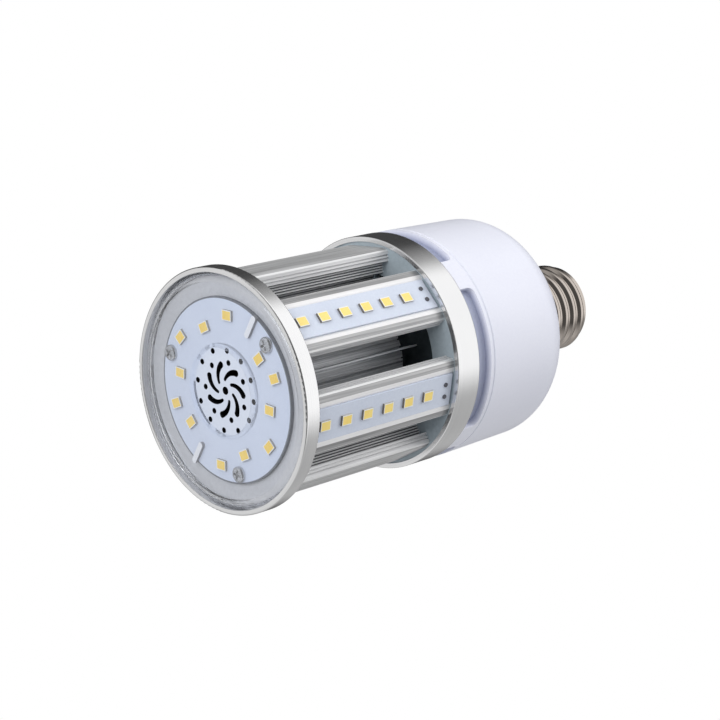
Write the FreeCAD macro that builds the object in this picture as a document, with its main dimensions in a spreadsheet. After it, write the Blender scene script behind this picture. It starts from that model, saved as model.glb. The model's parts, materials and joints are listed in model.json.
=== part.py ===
import FreeCAD, Part
import math
import os
import re
import Sketcher
from FreeCAD import Placement, Rotation, Vector

# Corn lamp: a round lit head, seven fins, a white driver housing and a screw cap.
# The axis of the lamp is Z. The front rim lies on Z = 0 and the cap points along +Z.
# Fin 1 lies along +X and the others follow round the axis.
FINS = 7
STRIP_LEDS = 6
BOARD_SCREWS = 3
VENT_HOLES = 12
NOTCHES = 4
RIDGES = 4
# Fins that hold a strip, counted from 0. The others have a plain face.
STRIPS = (0, 1, 3, 4, 5)
PLAIN = (2, 6)
# Front diodes: angle round the axis, turn of the package, and the radius they sit on.
FRONT_LEDS = [
    (-42.3, 42.7, "led_circle_outer"),
    (3.7, 3.7, "led_circle_inner"),
    (23.2, 20.7, "led_circle_outer"),
    (48.7, 46.7, "led_circle_inner"),
    (77.2, -3.3, "led_circle_outer"),
    (107.7, 16.7, "led_circle_inner"),
]

SIZES = [
    # Rings, plates and boards of the head.
    ("ring_radius", 33.0),
    ("front_ring_wall", 1.45),
    ("front_ring_depth", 4.7),
    ("ring_edge", 0.55),
    ("front_plate_thick", 1.5),
    ("plate_bore_step", 0.75),
    ("board_inset", 8.0),
    ("board_thick", 1.0),
    ("cover_clearance", 0.1),
    ("cover_recess", 0.15),
    ("cover_wall", 0.9),
    ("cover_round", 2.2),
    ("air_collar_radius", 11.85),
    # Swirl vents in the middle of the front board.
    ("vent_hub_radius", 1.1),
    ("vent_inner_circle", 2.95),
    ("vent_outer_circle", 7.0),
    ("vent_inner_angle", 258.7),
    ("vent_outer_angle", 300.7),
    ("vent_inner_heading", 28.0),
    ("vent_outer_heading", 57.0),
    ("vent_inner_half", 0.45),
    ("vent_outer_half", 0.9),
    ("vent_bow_long", 5.1),
    ("vent_bow_short", 3.9),
    ("vent_hole_radius", 0.78),
    ("vent_hole_circle", 7.85),
    ("vent_hole_angle", 14.63),
    ("rim_hole_inset", 0.9),
    ("rim_hole_angle", 17.7),
    # Diode packages.
    ("led_long", 3.5),
    ("led_wide", 2.8),
    ("led_high", 0.7),
    ("led_rim", 0.22),
    ("led_fill", 0.3),
    ("led_inset_outer", 4.4),
    ("led_collar_gap", 5.7),
    ("led_first_gap", 3.45),
    ("led_margin", 12.95),
    # Screws and terminals.
    ("screw_radius", 1.25),
    ("screw_clearance", 0.15),
    ("screw_inset", 10.7),
    ("screw_head_radius", 2.2),
    ("screw_head_high", 1.05),
    ("screw_head_round", 0.7),
    ("screw_cross_half", 1.35),
    ("screw_cross_arm", 0.3),
    ("screw_cross_deep", 0.5),
    ("cross_first_turn", 20.0),
    ("cross_turn", 31.0),
    ("flat_head_high", 0.8),
    ("screw_reach", 3.6),
    ("terminal_long", 6.9),
    ("terminal_over", 0.4),
    ("terminal_half", 0.8),
    ("terminal_high", 0.95),
    ("terminal_round", 0.7),
    ("terminal_angle", -17.3),
    # Fins and the strips in them.
    ("fin_length", 52.5),
    ("strip_sunk", 0.65),
    ("strip_half", 4.46),
    ("strip_thick", 1.0),
    ("strip_start", 0.4),
    ("strip_end_gap", 0.9),
    ("rail_clearance", 0.04),
    ("rail_bevel", 0.3),
    ("rail_slope", 0.54),
    ("rail_inset", 2.75),
    ("rail_wide", 1.59),
    ("flange_wide", 3.71),
    ("flange_drop", 0.45),
    ("edge_bevel", 0.42),
    ("groove_outer_drop", 1.9),
    ("groove_inner_drop", 2.8),
    ("groove_half", 0.17),
    ("groove_deep", 0.55),
    ("flange_thick", 3.65),
    ("leg_wide", 1.44),
    ("leg_wall", 1.35),
    ("fin_deep", 7.15),
    ("leg_chamfer", 0.2),
    ("ridge_drop", 4.57),
    ("ridge_pitch", 0.72),
    ("ridge_flat", 0.34),
    ("ridge_deep", 0.5),
    ("ridge_slope", 0.1),
    ("web_drop", 5.75),
    ("roof_thick", 2.25),
    ("port_radius", 2.15),
    ("port_slit_half", 0.75),
    ("solder_radius", 0.62),
    ("solder_high", 0.3),
    ("solder_half_gap", 1.7),
    ("solder_from_end", 2.4),
    # Core: an air duct with ribs and grooves along it.
    ("core_seat_inner", 0.4),
    ("core_seat_outer", 0.8),
    ("core_end_gap", 1.9),
    ("core_groove_deep", 0.6),
    ("core_recess_half", 0.7),
    ("core_groove_half", 0.25),
    ("core_line_half", 0.17),
    ("core_groove_angle", 11.2),
    ("core_line_angle", 15.5),
    ("core_rib_high", 4.3),
    ("core_rib_half", 0.22),
    # Rear plate, rear ring and white plastics.
    ("rear_plate_thick", 1.5),
    ("rear_rim", 10.1),
    ("rear_lobe_radius", 2.7),
    ("rear_ring_wall", 1.4),
    ("rear_ring_proud", 0.7),
    ("rear_ring_depth", 8.6),
    ("collar_inset", 0.1),
    ("collar_clearance", 0.1),
    ("collar_depth", 6.4),
    ("collar_wall", 4.3),
    ("ledge_wide", 2.2),
    ("notch_sunk", 2.1),
    ("notch_depth", 4.9),
    ("notch_span", 73.0),
    ("notch_round", 2.0),
    ("notch_angle", 40.2),
    ("seam_chamfer", 0.35),
    ("lip_clearance", 0.1),
    ("lip_wall", 1.5),
    ("lip_length", 4.0),
    ("housing_wall", 2.2),
    ("housing_straight", 33.9),
    ("housing_taper", 0.7),
    ("shoulder_round", 8.0),
    ("neck_step", 1.4),
    ("neck_length", 7.0),
    ("neck_round", 1.0),
    ("spigot_wall", 2.25),
    ("spigot_length", 6.6),
    # Screw cap.
    ("cap_bore", 11.85),
    ("cap_wall", 0.4),
    ("skirt_step", 0.75),
    ("cap_skirt_length", 3.4),
    ("cap_length", 27.0),
    ("cap_end_step", 1.85),
    ("cap_end_wall", 0.4),
    ("cap_end_length", 1.8),
    ("thread_high", 0.9),
    ("thread_pitch", 3.629),
    ("thread_turns", 5.33),
    ("thread_half", 1.65),
    ("thread_flat_half", 0.5),
    ("thread_round", 0.6),
    ("thread_root_bite", 0.2),
    ("insulator_plug", 3.2),
    ("insulator_cone", 1.9),
    ("insulator_step", 4.8),
    ("contact_step", 0.8),
    ("contact_high", 1.2),
    ("contact_round", 0.8),
    ("stem_radius", 1.2),
    ("stem_over", 1.6),
    # Driver inside the housing.
    ("driver_thick", 1.6),
    ("driver_clearance", 0.1),
    ("core_long", 21.0),
    ("core_deep", 9.0),
    ("core_high", 18.0),
    ("core_limb", 3.5),
    ("coil_deep", 15.0),
    ("input_can_radius", 6.3),
    ("input_can_high", 22.0),
    ("output_can_radius", 4.0),
    ("output_can_high", 14.0),
    ("film_long", 13.0),
    ("film_wide", 6.0),
    ("film_high", 11.0),
    ("varistor_radius", 5.0),
    ("varistor_thick", 4.0),
    ("bridge_long", 7.5),
    ("bridge_wide", 5.0),
    ("bridge_high", 2.7),
    ("transistor_thick", 4.4),
    ("transistor_wide", 10.0),
    ("transistor_high", 15.0),
    ("fuse_radius", 1.8),
    ("fuse_long", 10.0),
    ("wire_radius", 0.7),
    ("wire_clearance", 0.12),
    ("wire_inset", 1.0),
    ("live_offset", 4.0),
    ("neutral_offset", 6.6),
]

doc = FreeCAD.newDocument("corn_lamp")
sheet = doc.addObject("Spreadsheet::Sheet", "Sheet")
for row, (alias, number) in enumerate(SIZES, start=1):
    sheet.set("A%d" % row, alias)
    sheet.set("B%d" % row, str(number))
    sheet.setAlias("B%d" % row, alias)
doc.recompute()

NAMES = set(alias for alias, number in SIZES)
# Sizes that follow from others.
DERIVED = {
    "front_plate_bore": "air_collar_radius + plate_bore_step",
    "board_radius": "ring_radius - board_inset",
    "rim_hole_circle": "air_collar_radius - rim_hole_inset",
    "led_circle_outer": "board_radius - led_inset_outer",
    "led_circle_inner": "air_collar_radius + led_collar_gap",
    "screw_circle": "ring_radius - screw_inset",
    "terminal_inner": "terminal_outer - terminal_long",
    "terminal_outer": "board_radius + terminal_over",
    "strip_seat": "rail_top - strip_sunk",
    "strip_length": "fin_length - strip_start - strip_end_gap",
    "strip_led_first": "front_ring_depth + strip_start + led_first_gap",
    "strip_led_pitch": "(strip_length - led_margin) / 5",
    "core_length": "fin_length - core_end_gap",
    "rail_foot": "rail_top - rail_bevel",
    "rail_inner": "strip_half + rail_slope",
    "rail_top": "ring_radius - rail_inset",
    "rail_half": "strip_half + rail_wide",
    "flange_half": "strip_half + flange_wide",
    "flange_edge": "rail_top - flange_drop",
    "groove_outer": "rail_top - groove_outer_drop",
    "groove_inner": "rail_top - groove_inner_drop",
    "flange_under": "rail_top - flange_thick",
    "leg_half": "strip_half + leg_wide",
    "leg_end": "rail_top - fin_deep",
    "ridge_first": "rail_top - ridge_drop",
    "web_outer": "rail_top - web_drop",
    "roof_under": "rail_top - roof_thick",
    "core_bore": "front_plate_bore - core_seat_inner",
    "core_radius": "front_plate_bore + core_seat_outer",
    "core_rib_reach": "core_radius + core_rib_high",
    "rear_opening": "ring_radius - rear_rim",
    "collar_radius": "ring_radius - collar_inset",
    "collar_bore": "collar_radius - collar_wall",
    "collar_ledge": "collar_bore - ledge_wide",
    "notch_floor": "collar_radius - notch_sunk",
    "housing_shoulder_radius": "collar_radius - housing_taper",
    "neck_radius": "cap_skirt + neck_step",
    "neck_bore": "cap_bore - spigot_wall",
    "cap_core": "cap_bore + cap_wall",
    "cap_skirt": "cap_core + skirt_step",
    "cap_end_radius": "cap_core - cap_end_step",
    "thread_crest": "cap_core + thread_high",
    "insulator_top": "cap_end_radius - insulator_step",
    "contact_radius": "insulator_top - contact_step",
    "wire_circle": "terminal_inner + wire_inset",
}
STEP_ANGLE = 360.0 / FINS

# Levels along the axis, each tied to the sizes above.
PLATE_FRONT = "(front_ring_depth - front_plate_thick)"
BOARD_FRONT = "(front_ring_depth - front_plate_thick - board_thick)"
COVER_EDGE = "(ring_radius - front_ring_wall - cover_clearance)"
COVER_UNDER = "(cover_recess + cover_wall)"
FIN_START = "front_ring_depth"
REAR_FRONT = "(front_ring_depth + fin_length)"
REAR_BACK = "(front_ring_depth + fin_length + rear_plate_thick)"
RING_FRONT = "(front_ring_depth + fin_length - rear_ring_proud)"
RING_BACK = "(front_ring_depth + fin_length - rear_ring_proud + rear_ring_depth)"
SEAM = "(%s + collar_depth)" % RING_BACK
LIP_END = "(%s - lip_length)" % SEAM
DRIVER_BACK = "(%s - driver_thick)" % LIP_END
SHOULDER = "(%s + housing_straight)" % SEAM
CAP_SEAT = "(%s + neck_length)" % SHOULDER
CAP_BEND = "(%s + cap_length - cap_end_length)" % CAP_SEAT
CAP_END = "(%s + cap_length)" % CAP_SEAT
INSULATOR_END = "(%s + insulator_cone)" % CAP_END
PLUG_START = "(%s - insulator_plug)" % CAP_BEND
STRIP_TOP = "(strip_seat + strip_thick)"
REAR_BORE = "(ring_radius - rear_ring_wall)"


def bound(text):
    # Sheet names get the sheet's prefix and sizes that follow from others are spelled out.
    # Function names stay as they are.
    def one(found):
        word = found.group(0)
        if word in DERIVED:
            return "(" + bound(DERIVED[word]) + ")"
        return "Sheet." + word if word in NAMES else word
    return re.sub(r"[a-z][a-z_]*[a-z]", one, str(text))


def number_of(text):
    return float(sheet.evalExpression(bound(text)))


def bind(thing, name, text):
    thing.setExpression(name, bound(text))


def place(thing, x="0", y="0", z="0", turn="0"):
    # A move, and a turn about the lamp's axis direction.
    thing.Placement = Placement(Vector(0, 0, 0), Rotation(Vector(0, 0, 1), 1))
    bind(thing, "Placement.Base.x", x)
    bind(thing, "Placement.Base.y", y)
    bind(thing, "Placement.Base.z", z)
    bind(thing, "Placement.Rotation.Angle", turn)
    bind(thing, "Placement.Rotation.Axis.x", "0")
    bind(thing, "Placement.Rotation.Axis.y", "0")
    bind(thing, "Placement.Rotation.Axis.z", "1")


def new_body(label):
    body = doc.addObject("PartDesign::Body", label)
    body.Label = label
    return body


def origin_plane(body, role):
    for item in body.Origin.OriginFeatures:
        if item.Role == role:
            return item
    raise ValueError(role)


def sketch_on(body, role, lift="0"):
    sketch = body.newObject("Sketcher::SketchObject", body.Name + "_sketch")
    sketch.AttachmentSupport = [(origin_plane(body, role), "")]
    sketch.MapMode = "FlatFace"
    if lift != "0":
        bind(sketch, "AttachmentOffset.Base.z", lift)
    return sketch


def hold(sketch, pairs):
    # Every pair is a constraint and the size that drives it, or None for a plain one.
    first = sketch.ConstraintCount
    sketch.addConstraint([pair[0] for pair in pairs])
    for step, (constraint, text) in enumerate(pairs):
        if text is not None:
            bind(sketch, "Constraints[%d]" % (first + step), text)


def at_point(pairs, geometry, end, x, y):
    across = Sketcher.Constraint("DistanceX", -1, 1, geometry, end, number_of(x))
    along = Sketcher.Constraint("DistanceY", -1, 1, geometry, end, number_of(y))
    pairs.append((across, x))
    pairs.append((along, y))


def outline(sketch, corners):
    # A closed outline of straight sides. A corner with a third value is rounded to that radius.
    spots = [Vector(number_of(c[0]), number_of(c[1]), 0) for c in corners]
    count = len(corners)
    entry = []
    leave = []
    rounds = []
    for i in range(count):
        here = spots[i]
        if len(corners[i]) < 3:
            entry.append(here)
            leave.append(here)
            rounds.append(None)
            continue
        back = (spots[i - 1] - here).normalize()
        ahead = (spots[(i + 1) % count] - here).normalize()
        half = math.acos(max(-1.0, min(1.0, back.dot(ahead)))) / 2.0
        radius = number_of(corners[i][2])
        run = radius / math.tan(half)
        start = here + back * run
        stop = here + ahead * run
        centre = here + (back + ahead).normalize() * (radius / math.sin(half))
        entry.append(start)
        leave.append(stop)
        rounds.append((start, centre, stop, radius))
    sides = []
    for i in range(count):
        line = Part.LineSegment(leave[i], entry[(i + 1) % count])
        sides.append(sketch.addGeometry(line, False))
    pairs = []
    for i in range(count):
        x, y = corners[i][0], corners[i][1]
        before = sides[i - 1]
        after = sides[i]
        if rounds[i] is None:
            pairs.append((Sketcher.Constraint("Coincident", before, 2, after, 1), None))
            at_point(pairs, after, 1, x, y)
            continue
        start, centre, stop, radius = rounds[i]
        first = math.atan2(start.y - centre.y, start.x - centre.x)
        last = math.atan2(stop.y - centre.y, stop.x - centre.x)
        sweep = (last - first) % (2 * math.pi)
        circle = Part.Circle(centre, Vector(0, 0, 1), radius)
        if sweep < math.pi:
            arc = sketch.addGeometry(Part.ArcOfCircle(circle, first, first + sweep), False)
            ends = (1, 2)
        else:
            arc = sketch.addGeometry(Part.ArcOfCircle(circle, last, last + 2 * math.pi - sweep), False)
            ends = (2, 1)
        corner = sketch.addGeometry(Part.Point(spots[i]), True)
        at_point(pairs, corner, 1, x, y)
        pairs.append((Sketcher.Constraint("PointOnObject", corner, 1, before), None))
        pairs.append((Sketcher.Constraint("PointOnObject", corner, 1, after), None))
        pairs.append((Sketcher.Constraint("Tangent", before, 2, arc, ends[0]), None))
        pairs.append((Sketcher.Constraint("Tangent", arc, ends[1], after, 1), None))
        pairs.append((Sketcher.Constraint("Radius", arc, radius), corners[i][2]))
    hold(sketch, pairs)


def circle_at(sketch, x, y, radius):
    size = number_of(radius)
    ring = Part.Circle(Vector(number_of(x), number_of(y), 0), Vector(0, 0, 1), size)
    index = sketch.addGeometry(ring, False)
    pairs = [(Sketcher.Constraint("Radius", index, size), radius)]
    at_point(pairs, index, 3, x, y)
    hold(sketch, pairs)


def revolved(body, corners):
    # The outline holds radius and height, and turns once round the axis.
    sketch = sketch_on(body, "XZ_Plane")
    outline(sketch, corners)
    turn = body.newObject("PartDesign::Revolution", body.Name + "_turned")
    turn.Profile = sketch
    turn.ReferenceAxis = (sketch, ["V_Axis"])
    turn.Angle = 360
    doc.recompute()
    return turn


def padded(body, sketch, length):
    pad = body.newObject("PartDesign::Pad", body.Name + "_pad")
    pad.Profile = sketch
    bind(pad, "Length", length)
    doc.recompute()
    return pad


def pocketed(body, sketch, length):
    # The cut runs from the sketch toward -Z.
    before = body.Shape.Volume
    pocket = body.newObject("PartDesign::Pocket", body.Name + "_pocket")
    pocket.Profile = sketch
    bind(pocket, "Length", length)
    doc.recompute()
    if not body.Shape.Volume < before - 1e-4:
        raise ValueError("empty cut in " + body.Label)
    return pocket


def around(body, feature, count, span=360.0):
    pattern = body.newObject("PartDesign::PolarPattern", body.Name + "_round")
    pattern.Originals = [feature]
    pattern.Axis = (origin_plane(body, "Z_Axis"), [""])
    pattern.Angle = span
    pattern.Occurrences = count
    body.Tip = pattern
    doc.recompute()
    return pattern


def drilled(body, x, y, radius, lift, length, count):
    sketch = sketch_on(body, "XY_Plane", lift)
    circle_at(sketch, x, y, radius)
    hole = pocketed(body, sketch, length)
    if count > 1:
        around(body, hole, count)


def polar(circle, angle):
    return "%s * cos(%s)" % (circle, angle), "%s * sin(%s)" % (circle, angle)


def box(label, size, corner):
    thing = doc.addObject("Part::Box", label)
    thing.Label = label
    for name, text in zip(("Length", "Width", "Height"), size):
        bind(thing, name, text)
    for name, text in zip(("x", "y", "z"), corner):
        bind(thing, "Placement.Base." + name, text)
    return thing


def rod(label, radius, length, foot, axis=Vector(0, 0, 1)):
    thing = doc.addObject("Part::Cylinder", label)
    thing.Label = label
    thing.Placement = Placement(Vector(0, 0, 0), Rotation(Vector(0, 0, 1), axis))
    bind(thing, "Radius", radius)
    bind(thing, "Height", length)
    for name, text in zip(("x", "y", "z"), foot):
        bind(thing, "Placement.Base." + name, text)
    return thing


def ball(label, radius, centre):
    thing = doc.addObject("Part::Sphere", label)
    thing.Label = label
    bind(thing, "Radius", radius)
    for name, text in zip(("x", "y", "z"), centre):
        bind(thing, "Placement.Base." + name, text)
    return thing


def joined(label, shapes):
    thing = doc.addObject("Part::MultiFuse", label)
    thing.Label = label
    thing.Shapes = shapes
    thing.Refine = True
    return thing


def cut(label, base, tool):
    thing = doc.addObject("Part::Cut", label)
    thing.Label = label
    thing.Base = base
    thing.Tool = tool
    return thing


def repeat(label, source):
    thing = doc.addObject("Part::Compound", label)
    thing.Label = label
    thing.Links = [source]
    return thing


def gathered(label, members):
    thing = doc.addObject("Part::Compound", label)
    thing.Label = label
    thing.Links = members
    return thing


NODES = []

# Front ring: a polished band with a rounded front edge. The plate is pressed into its bore.
ring = new_body("front_ring")
RING_BORE = "ring_radius - front_ring_wall"
revolved(ring, [
    (RING_BORE, "0", "ring_edge / 2"),
    ("ring_radius", "0", "ring_edge"),
    ("ring_radius", "front_ring_depth", "ring_edge / 2"),
    (RING_BORE, "front_ring_depth"),
])
NODES.append(ring)

# Front plate: carries the board on one side and the fin ends on the other.
plate = new_body("front_plate")
revolved(plate, [
    ("front_plate_bore", PLATE_FRONT),
    (RING_BORE, PLATE_FRONT),
    (RING_BORE, "front_ring_depth"),
    ("front_plate_bore", "front_ring_depth"),
])
drilled(plate, "screw_circle", "0", "screw_radius", "front_ring_depth", "front_plate_thick", BOARD_SCREWS)
wire_x, wire_y = polar("wire_circle", "terminal_angle")
drilled(plate, wire_x, wire_y, "wire_radius + wire_clearance", "front_ring_depth", "front_plate_thick", 2)
fin_x, fin_y = polar("screw_circle", STEP_ANGLE)
span = STEP_ANGLE * (FINS - 2)
sketch = sketch_on(plate, "XY_Plane", "front_ring_depth")
circle_at(sketch, fin_x, fin_y, "screw_radius")
around(plate, pocketed(plate, sketch, "front_plate_thick"), FINS - 1, span)
sketch = sketch_on(plate, "XY_Plane", PLATE_FRONT + " + flat_head_high")
circle_at(sketch, fin_x, fin_y, "screw_head_radius")
around(plate, pocketed(plate, sketch, "flat_head_high"), FINS - 1, span)
NODES.append(plate)

# Front board: a round board with a hub hole, comma-shaped swirl slots and two circles of holes.
board = new_body("front_led_board")
sketch = sketch_on(board, "XY_Plane", BOARD_FRONT)
circle_at(sketch, "0", "0", "board_radius")
padded(board, sketch, "board_thick")
drilled(board, "0", "0", "vent_hub_radius", PLATE_FRONT, "board_thick", 1)
hole_x, hole_y = polar("vent_hole_circle", "vent_hole_angle")
drilled(board, hole_x, hole_y, "vent_hole_radius", PLATE_FRONT, "board_thick", FINS)
hole_x, hole_y = polar("rim_hole_circle", "rim_hole_angle")
drilled(board, hole_x, hole_y, "vent_hole_radius", PLATE_FRONT, "board_thick", VENT_HOLES)
SCREW_HOLE = "screw_radius + screw_clearance"
drilled(board, "screw_circle", "0", SCREW_HOLE, PLATE_FRONT, "board_thick", BOARD_SCREWS)
drilled(board, wire_x, wire_y, "wire_radius + wire_clearance", PLATE_FRONT, "board_thick", 2)


def arc_between(sketch, start, stop, radius):
    # An arc from start to stop, turning left, with the given radius.
    chord = stop - start
    middle = (start + stop) * 0.5
    reach = math.sqrt(max(radius * radius - chord.Length * chord.Length / 4.0, 0.0))
    side = Vector(-chord.y, chord.x, 0).normalize()
    centre = middle + side * reach
    first = math.atan2(start.y - centre.y, start.x - centre.x)
    last = math.atan2(stop.y - centre.y, stop.x - centre.x)
    while last < first:
        last += 2 * math.pi
    circle = Part.Circle(centre, Vector(0, 0, 1), radius)
    return sketch.addGeometry(Part.ArcOfCircle(circle, first, last), False)


# One swirl slot, drawn with two bowed sides and a round end at each side's ends.
IN_NORMAL = "(vent_inner_angle + vent_inner_heading + 90)"
OUT_NORMAL = "(vent_outer_angle + vent_outer_heading + 90)"


def slot_corner(circle, angle, half, normal, sign):
    x = "%s * cos(%s) %s %s * cos(%s)" % (circle, angle, sign, half, normal)
    y = "%s * sin(%s) %s %s * sin(%s)" % (circle, angle, sign, half, normal)
    return x, y


slot = [
    slot_corner("vent_inner_circle", "vent_inner_angle", "vent_inner_half", IN_NORMAL, "-"),
    slot_corner("vent_outer_circle", "vent_outer_angle", "vent_outer_half", OUT_NORMAL, "-"),
    slot_corner("vent_outer_circle", "vent_outer_angle", "vent_outer_half", OUT_NORMAL, "+"),
    slot_corner("vent_inner_circle", "vent_inner_angle", "vent_inner_half", IN_NORMAL, "+"),
]
spots = [Vector(number_of(x), number_of(y), 0) for x, y in slot]
sketch = sketch_on(board, "XY_Plane", PLATE_FRONT)
long_side = arc_between(sketch, spots[0], spots[1], number_of("vent_bow_long"))
outer_end = arc_between(sketch, spots[1], spots[2], number_of("vent_outer_half * 1.02"))
short_side = arc_between(sketch, spots[3], spots[2], number_of("vent_bow_short"))
inner_end = arc_between(sketch, spots[3], spots[0], number_of("vent_inner_half * 1.02"))
pairs = [
    (Sketcher.Constraint("Coincident", long_side, 2, outer_end, 1), None),
    (Sketcher.Constraint("Coincident", outer_end, 2, short_side, 2), None),
    (Sketcher.Constraint("Coincident", short_side, 1, inner_end, 1), None),
    (Sketcher.Constraint("Coincident", inner_end, 2, long_side, 1), None),
    (Sketcher.Constraint("Radius", long_side, number_of("vent_bow_long")), "vent_bow_long"),
    (Sketcher.Constraint("Radius", outer_end, number_of("vent_outer_half * 1.02")), "vent_outer_half * 1.02"),
    (Sketcher.Constraint("Radius", short_side, number_of("vent_bow_short")), "vent_bow_short"),
    (Sketcher.Constraint("Radius", inner_end, number_of("vent_inner_half * 1.02")), "vent_inner_half * 1.02"),
]
at_point(pairs, long_side, 1, slot[0][0], slot[0][1])
at_point(pairs, long_side, 2, slot[1][0], slot[1][1])
at_point(pairs, short_side, 2, slot[2][0], slot[2][1])
at_point(pairs, short_side, 1, slot[3][0], slot[3][1])
hold(sketch, pairs)
around(board, pocketed(board, sketch, "board_thick"), FINS)
NODES.append(board)

# Clear cover: a flat face, a rounded shoulder, a skirt down to the plate and a collar round the air opening.
cover = new_body("front_cover")
revolved(cover, [
    (COVER_EDGE, PLATE_FRONT),
    (COVER_EDGE, "cover_recess", "cover_round"),
    ("air_collar_radius", "cover_recess", "cover_wall / 3"),
    ("air_collar_radius", BOARD_FRONT),
    ("air_collar_radius + cover_wall", BOARD_FRONT),
    ("air_collar_radius + cover_wall", COVER_UNDER),
    (COVER_EDGE + " - cover_wall", COVER_UNDER, "cover_round - cover_wall"),
    (COVER_EDGE + " - cover_wall", PLATE_FRONT),
])
NODES.append(cover)

# Diode package for the front board: a shallow tray with a filled window. It faces -Z.
tray = box(
    "front_tray",
    ("led_long", "led_wide", "led_high"),
    ("-led_long / 2", "-led_wide / 2", BOARD_FRONT + " - led_high"),
)
WINDOW = ("led_long - 2 * led_rim", "led_wide - 2 * led_rim", "led_fill")
WINDOW_CORNER = ("led_rim - led_long / 2", "led_rim - led_wide / 2", BOARD_FRONT + " - led_high")
front_window = box("front_window", WINDOW, WINDOW_CORNER)
front_fill = box("front_fill", WINDOW, WINDOW_CORNER)
front_package = cut("front_package", tray, front_window)
packages = []
fills = []
for half_turn in (0.0, 180.0):
    for number, (angle, turn, circle) in enumerate(FRONT_LEDS, start=1):
        x, y = polar(circle, angle + half_turn)
        tag = "_%d_%d" % (number, half_turn)
        one = repeat("front_package" + tag, front_package)
        place(one, x, y, "0", turn + half_turn)
        packages.append(one)
        two = repeat("front_fill" + tag, front_fill)
        place(two, x, y, "0", turn + half_turn)
        fills.append(two)
NODES.append(gathered("front_led_packages", packages))
NODES.append(gathered("front_led_phosphor", fills))

# Supply terminals: two bars with rounded corners that lie across the board's edge zone.
bar = new_body("terminal_bar")
sketch = sketch_on(bar, "XY_Plane", BOARD_FRONT + " - terminal_high")
outline(sketch, [
    ("terminal_inner", "-terminal_half", "terminal_round"),
    ("terminal_outer", "-terminal_half", "terminal_round"),
    ("terminal_outer", "terminal_half", "terminal_round"),
    ("terminal_inner", "terminal_half", "terminal_round"),
])
padded(bar, sketch, "terminal_high")
bars = []
for number in (0, 1):
    one = repeat("terminal_bar_%d" % (number + 1), bar)
    place(one, turn="terminal_angle + %d" % (180 * number))
    bars.append(one)
NODES.append(gathered("board_terminals", bars))

# Board screws: low round heads with a cross recess.
screw = new_body("board_screw")
HEAD_TOP = BOARD_FRONT + " - screw_head_high"
SCREW_TIP = "front_ring_depth + screw_reach"
revolved(screw, [
    ("0", HEAD_TOP),
    ("screw_head_radius", HEAD_TOP, "screw_head_round"),
    ("screw_head_radius", BOARD_FRONT),
    ("screw_radius", BOARD_FRONT),
    ("screw_radius", SCREW_TIP),
    ("0", SCREW_TIP),
])
sketch = sketch_on(screw, "XY_Plane", HEAD_TOP + " + screw_cross_deep")
A = "screw_cross_arm"
L = "screw_cross_half"
outline(sketch, [
    (L, "-" + A), (L, A), (A, A), (A, L), ("-" + A, L), ("-" + A, A),
    ("-" + L, A), ("-" + L, "-" + A), ("-" + A, "-" + A), ("-" + A, "-" + L), (A, "-" + L), (A, "-" + A),
])
pocketed(screw, sketch, "screw_cross_deep")
screws = []
for number in range(BOARD_SCREWS):
    one = repeat("board_screw_%d" % (number + 1), screw)
    x, y = polar("screw_circle", 360.0 / BOARD_SCREWS * number)
    place(one, x, y, "0", "cross_first_turn + %d * cross_turn" % number)
    screws.append(one)
NODES.append(gathered("board_screws", screws))

# Front fin screws: flat heads sunk in the plate under the board, for every fin but the first,
# whose port takes a board screw.
screw = new_body("front_fin_screw")
FLAT_BACK = PLATE_FRONT + " + flat_head_high"
revolved(screw, [
    ("0", PLATE_FRONT),
    ("screw_head_radius", PLATE_FRONT),
    ("screw_head_radius", FLAT_BACK),
    ("screw_radius", FLAT_BACK),
    ("screw_radius", SCREW_TIP),
    ("0", SCREW_TIP),
])
screws = []
for number in range(1, FINS):
    one = repeat("front_fin_screw_%d" % number, screw)
    x, y = polar("screw_circle", STEP_ANGLE * number)
    place(one, x, y)
    screws.append(one)
NODES.append(gathered("fin_screws_front", screws))

# Fin: an extruded bar with a channel for the strip or a plain face, a grooved flange, ridged legs,
# a closed web and a screw port.
RAIL = "(strip_half + rail_clearance)"


def fin_half(channel):
    # One half of the section, as distances from the middle and from the axis.
    half = []
    if channel:
        half.append((RAIL, "strip_seat"))
        half.append((RAIL, "rail_foot"))
        half.append(("rail_inner", "rail_top"))
    half.append(("rail_half", "rail_top"))
    half.append(("flange_half - edge_bevel", "flange_edge"))
    half.append(("flange_half", "flange_edge - edge_bevel"))
    for level in ("groove_outer", "groove_inner"):
        half.append(("flange_half", level + " + groove_half"))
        half.append(("flange_half - groove_deep", level + " + groove_half"))
        half.append(("flange_half - groove_deep", level + " - groove_half"))
        half.append(("flange_half", level + " - groove_half"))
    half.append(("flange_half", "flange_under"))
    half.append(("leg_half - ridge_deep", "flange_under"))
    for number in range(RIDGES):
        crest = "(ridge_first - %d * ridge_pitch)" % number
        half.append(("leg_half - ridge_deep", crest + " + ridge_flat / 2 + ridge_slope"))
        half.append(("leg_half", crest + " + ridge_flat / 2"))
        if number < RIDGES - 1:
            half.append(("leg_half", crest + " - ridge_flat / 2"))
            half.append(("leg_half - ridge_deep", crest + " - ridge_flat / 2 - ridge_slope"))
    half.append(("leg_half", "leg_end + leg_chamfer"))
    half.append(("leg_half - leg_chamfer", "leg_end"))
    return half


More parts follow.
